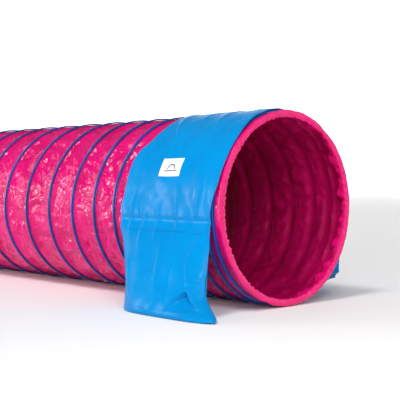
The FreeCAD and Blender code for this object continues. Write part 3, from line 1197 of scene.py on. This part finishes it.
def flap_piece(name, side, body):
    """A flap that lies on the strap, over the pocket's mouth."""
    deselect_all()
    bpy.ops.mesh.primitive_grid_add(x_subdivisions=96, y_subdivisions=16, size=1,
                                    location=(0.5, 0.5, 0))
    flap = named(name)
    settle(flap)
    flat = points_of(flap)
    top, foot = arc_at_height(FLAP_TOP), arc_at_height(FLAP_FOOT)
    share = (1 - FLAP_SHARE) / 2 + FLAP_SHARE * flat[:, 0]
    along_edge = np.stack([share * 0.4, share * 0, share * 0], 1)
    uneven_cut = 1.5 * MM * soft_noise(along_edge, 0.09, 640) * flat[:, 1]
    arc = top + (foot - top) * flat[:, 1] + uneven_cut
    open_by = 0.1 * MM + 0.5 * MM * flat[:, 1] ** 2
    set_uv(flap, np.stack([share * STRAP_WIDTH, arc], 1))
    lifted = drape(share, arc, side, lift=0.6 * MM)
    extra = drape(share, arc, side, lift=1.6 * MM) - lifted
    put_points(flap, lifted + extra * (open_by / MM)[:, None])
    if side < 0:
        turn_round(flap)
    thicken(flap, FLAP_THICKNESS)
    smooth(flap, math.radians(50))
    flap.data.materials.append(SADDLE_CLOTH)
    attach(flap, body)
    return flap


near_flap_cloth = flap_piece("near_flap_cloth", -1, "near_flap")
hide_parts("near_flap")
far_flap_cloth = flap_piece("far_flap_cloth", 1, "far_flap")
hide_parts("far_flap")
print("each flap is", round(arc_at_height(FLAP_FOOT) - arc_at_height(FLAP_TOP), 4), "m from seam to edge")

# %% [markdown]
# A stitch is a short thread, about 5 mm from the next. An Array makes the straight row, and a function
# then lays it, so the same helper serves the edges, the flaps, the feet and the label.

# %% A row of stitches
THREAD = speckled("blue thread", (0.0, 0.16, 0.5), 0.7, (0.0, 0.12, 0.42), (0.0, 0.22, 0.6), 700.0)[0]
WHITE_THREAD = speckled("pale thread", (0.7, 0.7, 0.72), 0.7, (0.6, 0.6, 0.62), (0.8, 0.8, 0.8),
                        700.0)[0]
THREAD_RADIUS = 0.45 * MM
STITCH_SHARE = 0.72
STITCH_PITCH = 5 * MM


def stitch_row(name, length, lay, material, body, pitch=STITCH_PITCH):
    """A row of stitches. lay gives a point from a distance along the row and a lift."""
    deselect_all()
    bpy.ops.mesh.primitive_cylinder_add(vertices=6, radius=THREAD_RADIUS, depth=STITCH_SHARE * pitch,
                                        location=(pitch / 2, 0, 0), rotation=(0, math.pi / 2, 0))
    row = named(name)
    settle(row)
    array = row.modifiers.new("row", "ARRAY")
    array.use_relative_offset = False
    array.use_constant_offset = True
    array.constant_offset_displace = (pitch, 0, 0)
    array.count = max(1, int(length / pitch))
    apply_modifiers(row)
    flat = points_of(row)
    put_points(row, lay(flat[:, 0], flat[:, 1], flat[:, 2]))
    outwards(row)
    row.data.materials.append(material)
    if body is not None:
        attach(row, body)
    return row


def up_along(side, arc, up):
    """A small step off the strap, square to its path."""
    ahead_reach, ahead_height = path_at(arc + MM)
    behind_reach, behind_height = path_at(arc - MM)
    normal = np.stack([0 * arc, side * (behind_height - ahead_height), ahead_reach - behind_reach], 1)
    normal /= np.maximum(np.linalg.norm(normal, axis=1), 1e-9)[:, None]
    return normal * up[:, None]


print("stitches to a metre", round(1 / STITCH_PITCH))

# %% [markdown]
# The edges are hemmed from the crown to the foot, and those rows are laid along the strap.
# The rows across the strap hold the flap's top edge, its hem, and the foot of the pocket.

# %% Rows on the saddle
HEM_INSET = 6 * MM
ROW_SHARE = 0.94


def side_stitches(name, side, inset):
    """Stitches along an edge of the strap. inset is their share of the width."""
    def lay(along, across, up):
        share = inset + across / STRAP_WIDTH
        return drape(share, along, side, lift=0.25 * MM) + up_along(side, along, up)

    row = stitch_row(name, LOWEST - 10 * MM, lay, THREAD, None)
    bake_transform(row)


def level_stitches(name, side, height, body, lift):
    """A row of stitches across the strap at one height."""
    middle = arc_at_height(height)

    def lay(along, across, up):
        share = np.clip((1 - ROW_SHARE) / 2 + along / STRAP_WIDTH, 0, 1)
        arc = middle + across
        return drape(share, arc, side, lift=lift) + up_along(side, arc, up)

    stitch_row(name, ROW_SHARE * STRAP_WIDTH, lay, THREAD, body)


for side, half in ((-1, "near"), (1, "far")):
    side_stitches("%s_left_stitches" % half, side, HEM_INSET / STRAP_WIDTH)
    side_stitches("%s_right_stitches" % half, side, 1 - HEM_INSET / STRAP_WIDTH)
for side, half in ((-1, "near"), (1, "far")):
    level_stitches("%s_flap_seam" % half, side, FLAP_TOP - 5 * MM, "%s_flap" % half, 0.9 * MM)
    level_stitches("%s_flap_hem" % half, side, FLAP_FOOT + 7 * MM, "%s_flap" % half, 1.1 * MM)
    level_stitches("%s_foot_seam" % half, side, 22 * MM, "%s_leg" % half, 0.3 * MM)
rows = [o.name for o in bpy.data.objects if o.name.endswith(("_stitches", "_seam", "_flap_hem"))]
print("rows of stitches on the saddle", len(rows))

# %% [markdown]
# ## The label
#
# A white woven patch is sewn to the near side. Its print is a plain arch over a bar, for a tunnel on
# the ground. The print is a second material on some of the patch's small faces, because it is flat ink.

# %% Where the label lies
label_low, label_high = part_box("label_patch")
LABEL_WHITE, label_tree, label_shader = speckled("white woven patch", (0.86, 0.86, 0.85), 0.6,
                                                 (0.80, 0.80, 0.79), (0.90, 0.90, 0.90), 60.0)
add_bump(label_tree, label_shader, weave_height(label_tree, 0.8 * MM), 0.3, 0.1 * MM)
INK = speckled("dark blue ink", (0.02, 0.04, 0.15), 0.5, (0.015, 0.03, 0.12), (0.03, 0.06, 0.2),
               300.0)[0]

LABEL_LENGTH = label_high.x - label_low.x
label_top_arc = SADDLE_RADIUS * math.acos((label_high.z - AXIS_Z) / SADDLE_RADIUS)
label_foot_arc = SADDLE_RADIUS * math.acos((label_low.z - AXIS_Z) / SADDLE_RADIUS)
LABEL_ROUND = label_foot_arc - label_top_arc
LABEL_ARC = (label_top_arc + label_foot_arc) / 2


def label_place(across, down, lift):
    """A point of the label, from its middle, in metres, lying on the near half."""
    arc = LABEL_ARC + down
    _, height = path_at(arc)
    left, right = edges(height, -1)
    x = (label_low.x + label_high.x) / 2 + across
    return drape((x - left) / (right - left), arc, -1, lift=lift)


print("label", round(LABEL_LENGTH, 4), "by", round(LABEL_ROUND, 4), "m")

# %% [markdown]
# The patch is a fine grid. A face takes the ink where its middle lies on the arch or on the bar, which
# is measured on the map before the label gets its thickness.

# %% The label
deselect_all()
bpy.ops.mesh.primitive_grid_add(x_subdivisions=110, y_subdivisions=70, size=1)
label = named("sewn_label")
flat = points_of(label) * [LABEL_LENGTH, LABEL_ROUND, 1]
set_uv(label, flat[:, :2])
put_points(label, label_place(flat[:, 0], flat[:, 1], np.full(len(flat), 0.9 * MM)))
turn_round(label)
label.data.materials.append(LABEL_WHITE)
label.data.materials.append(INK)
uv_of_face = np.empty(len(label.data.loops) * 2)
label.data.uv_layers.active.data.foreach_get("uv", uv_of_face)
middle_of_face = uv_of_face.reshape(-1, 4, 2).mean(axis=1)
across, down = middle_of_face[:, 0], middle_of_face[:, 1]
from_arch = np.hypot(across, down - 8 * MM)
arch = (np.abs(from_arch - 17 * MM) < 2.2 * MM) & (down < 8 * MM)
bar = (np.abs(down - 12 * MM) < 1.6 * MM) & (np.abs(across) < 30 * MM)
label.data.polygons.foreach_set("material_index", (arch | bar).astype(np.int32))
thicken(label, 0.6 * MM)
smooth(label, math.radians(50))
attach(label, "saddle")
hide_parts("label_patch")
print("inked faces", int((arch | bar).sum()))

# %% [markdown]
# A row of pale stitches runs along each edge of the label, 3 mm in.

# %% The label's stitches
LABEL_HEM = 3 * MM
HALF_LENGTH, HALF_ROUND = LABEL_LENGTH / 2 - LABEL_HEM, LABEL_ROUND / 2 - LABEL_HEM


def label_stitches(name, level, start_across, start_down):
    """Stitches from a corner of the label: level ones run along the tunnel, others run down."""
    def lay(along, aside, up):
        across = start_across + (along if level else aside)
        down = start_down + (aside if level else along)
        return label_place(across, down, 1.0 * MM) + up_along(-1, LABEL_ARC + down, up)

    length = 2 * HALF_LENGTH if level else 2 * HALF_ROUND
    stitch_row(name, length, lay, WHITE_THREAD, "saddle", pitch=3.5 * MM)


label_stitches("label_stitches_top", True, -HALF_LENGTH, -HALF_ROUND)
label_stitches("label_stitches_foot", True, -HALF_LENGTH, HALF_ROUND)
label_stitches("label_stitches_left", False, -HALF_LENGTH, -HALF_ROUND)
label_stitches("label_stitches_right", False, HALF_LENGTH, -HALF_ROUND)
print("label rows start", round(HALF_LENGTH, 4), "m from its middle")

# %% [markdown]
# ## Floor, light and camera
#
# The floor is pale, and a pale round wall stands far off behind it, so that no view ends in the dark.
# Two suns with a wide angle give even, soft light: a broad key from above the near side and a weak fill.
# Two area lights close by put the bright streaks on the coated cloth. The camera's place is given from
# the exit rim, because the rim is the part of the view that the eye compares first.

# %% Floor
FLOOR = speckled("pale studio floor", (0.94, 0.94, 0.945), 0.8, (0.93, 0.93, 0.935),
                 (0.95, 0.95, 0.955), 0.8)[0]
deselect_all()
bpy.ops.mesh.primitive_plane_add(size=60, location=(0, 0, -0.2 * MM))
floor = named("studio_floor")
floor.data.materials.append(FLOOR)
print("floor", round(floor.dimensions.x, 1), "m across")

# %% [markdown]
# The wall is a ring, so that every view has one. It glows a little, because it is too far off for the
# lights near the tunnel to reach it.

# %% Surround and wall
world = bpy.data.worlds.new("pale surround")
bpy.context.scene.world = world
world.use_nodes = True
world.node_tree.nodes["Background"].inputs["Color"].default_value = (1, 1, 1, 1)
world.node_tree.nodes["Background"].inputs["Strength"].default_value = 0.2

BACKDROP = speckled("white backdrop", (0.9, 0.9, 0.9), 0.9, (0.89, 0.89, 0.89), (0.91, 0.91, 0.91),
                    0.5, Emission_Strength=0.72, Emission_Color=(1, 1, 1, 1))[0]
deselect_all()
bpy.ops.mesh.primitive_cylinder_add(vertices=96, radius=29, depth=12, end_fill_type="NOTHING",
                                    location=(0, 0, 6))
backdrop = named("studio_backdrop")
turn_round(backdrop)
smooth(backdrop)
backdrop.data.materials.append(BACKDROP)
print("wall radius", round(backdrop.dimensions.x / 2, 1), "m")

# %% [markdown]
# A sun's softness is the angle that it fills. An area light's is its size. The strip box is tall and
# narrow, because its reflection is what draws the long bright lines along the creases.

# %% Lights
def soft_light(name, place, target, size, power):
    """A rectangular light box that looks at a target."""
    deselect_all()
    bpy.ops.object.light_add(type="AREA", location=place)
    light = bpy.context.object
    light.name = name
    light.data.shape = "RECTANGLE"
    light.data.size, light.data.size_y = size
    light.data.energy = power
    light.rotation_euler = (Vector(target) - Vector(place)).to_track_quat("-Z", "Y").to_euler()


def far_light(name, towards_light, strength, softness):
    """A broad light so far off that it is even all over the floor."""
    deselect_all()
    bpy.ops.object.light_add(type="SUN", location=towards_light)
    light = bpy.context.object
    light.name = name
    light.data.energy = strength
    light.data.angle = math.radians(softness)
    light.rotation_euler = Vector(towards_light).to_track_quat("Z", "Y").to_euler()


TARGET = (0.2, 0, 0.35)
far_light("broad key", (0.15, -0.9, 1.35), 1.36, 16)
far_light("weak fill", (1.0, -0.7, 0.9), 0.3, 30)
soft_light("strip box", (-1.9, -2.6, 0.75), TARGET, (0.5, 1.2), 32)
soft_light("end box", (2.3, -1.3, 1.5), (0.8, 0, 0.2), (0.7, 0.7), 16)
print("lights", len(bpy.data.lights))

# %% [markdown]
# The camera stands beyond the exit, on the near side, a little higher than the tunnel's axis.

# %% Camera
SENSOR_WIDTH = 36
AZIMUTH, PITCH = math.radians(46.46), math.radians(-1.239)
FOCAL_OVER_WIDTH = 2.232
deselect_all()
bpy.ops.object.camera_add(location=(EXIT_RIM + 1.814, -2.111, 0.392),
                          rotation=(math.pi / 2 + PITCH, 0, AZIMUTH))
camera = bpy.context.object
camera.name = "camera"
camera.data.sensor_width = SENSOR_WIDTH
camera.data.lens = FOCAL_OVER_WIDTH * SENSOR_WIDTH
camera.data.clip_end = 100
bpy.context.scene.camera = camera
bpy.context.scene.view_settings.view_transform = "Standard"
print("focal length", round(camera.data.lens, 1), "mm")
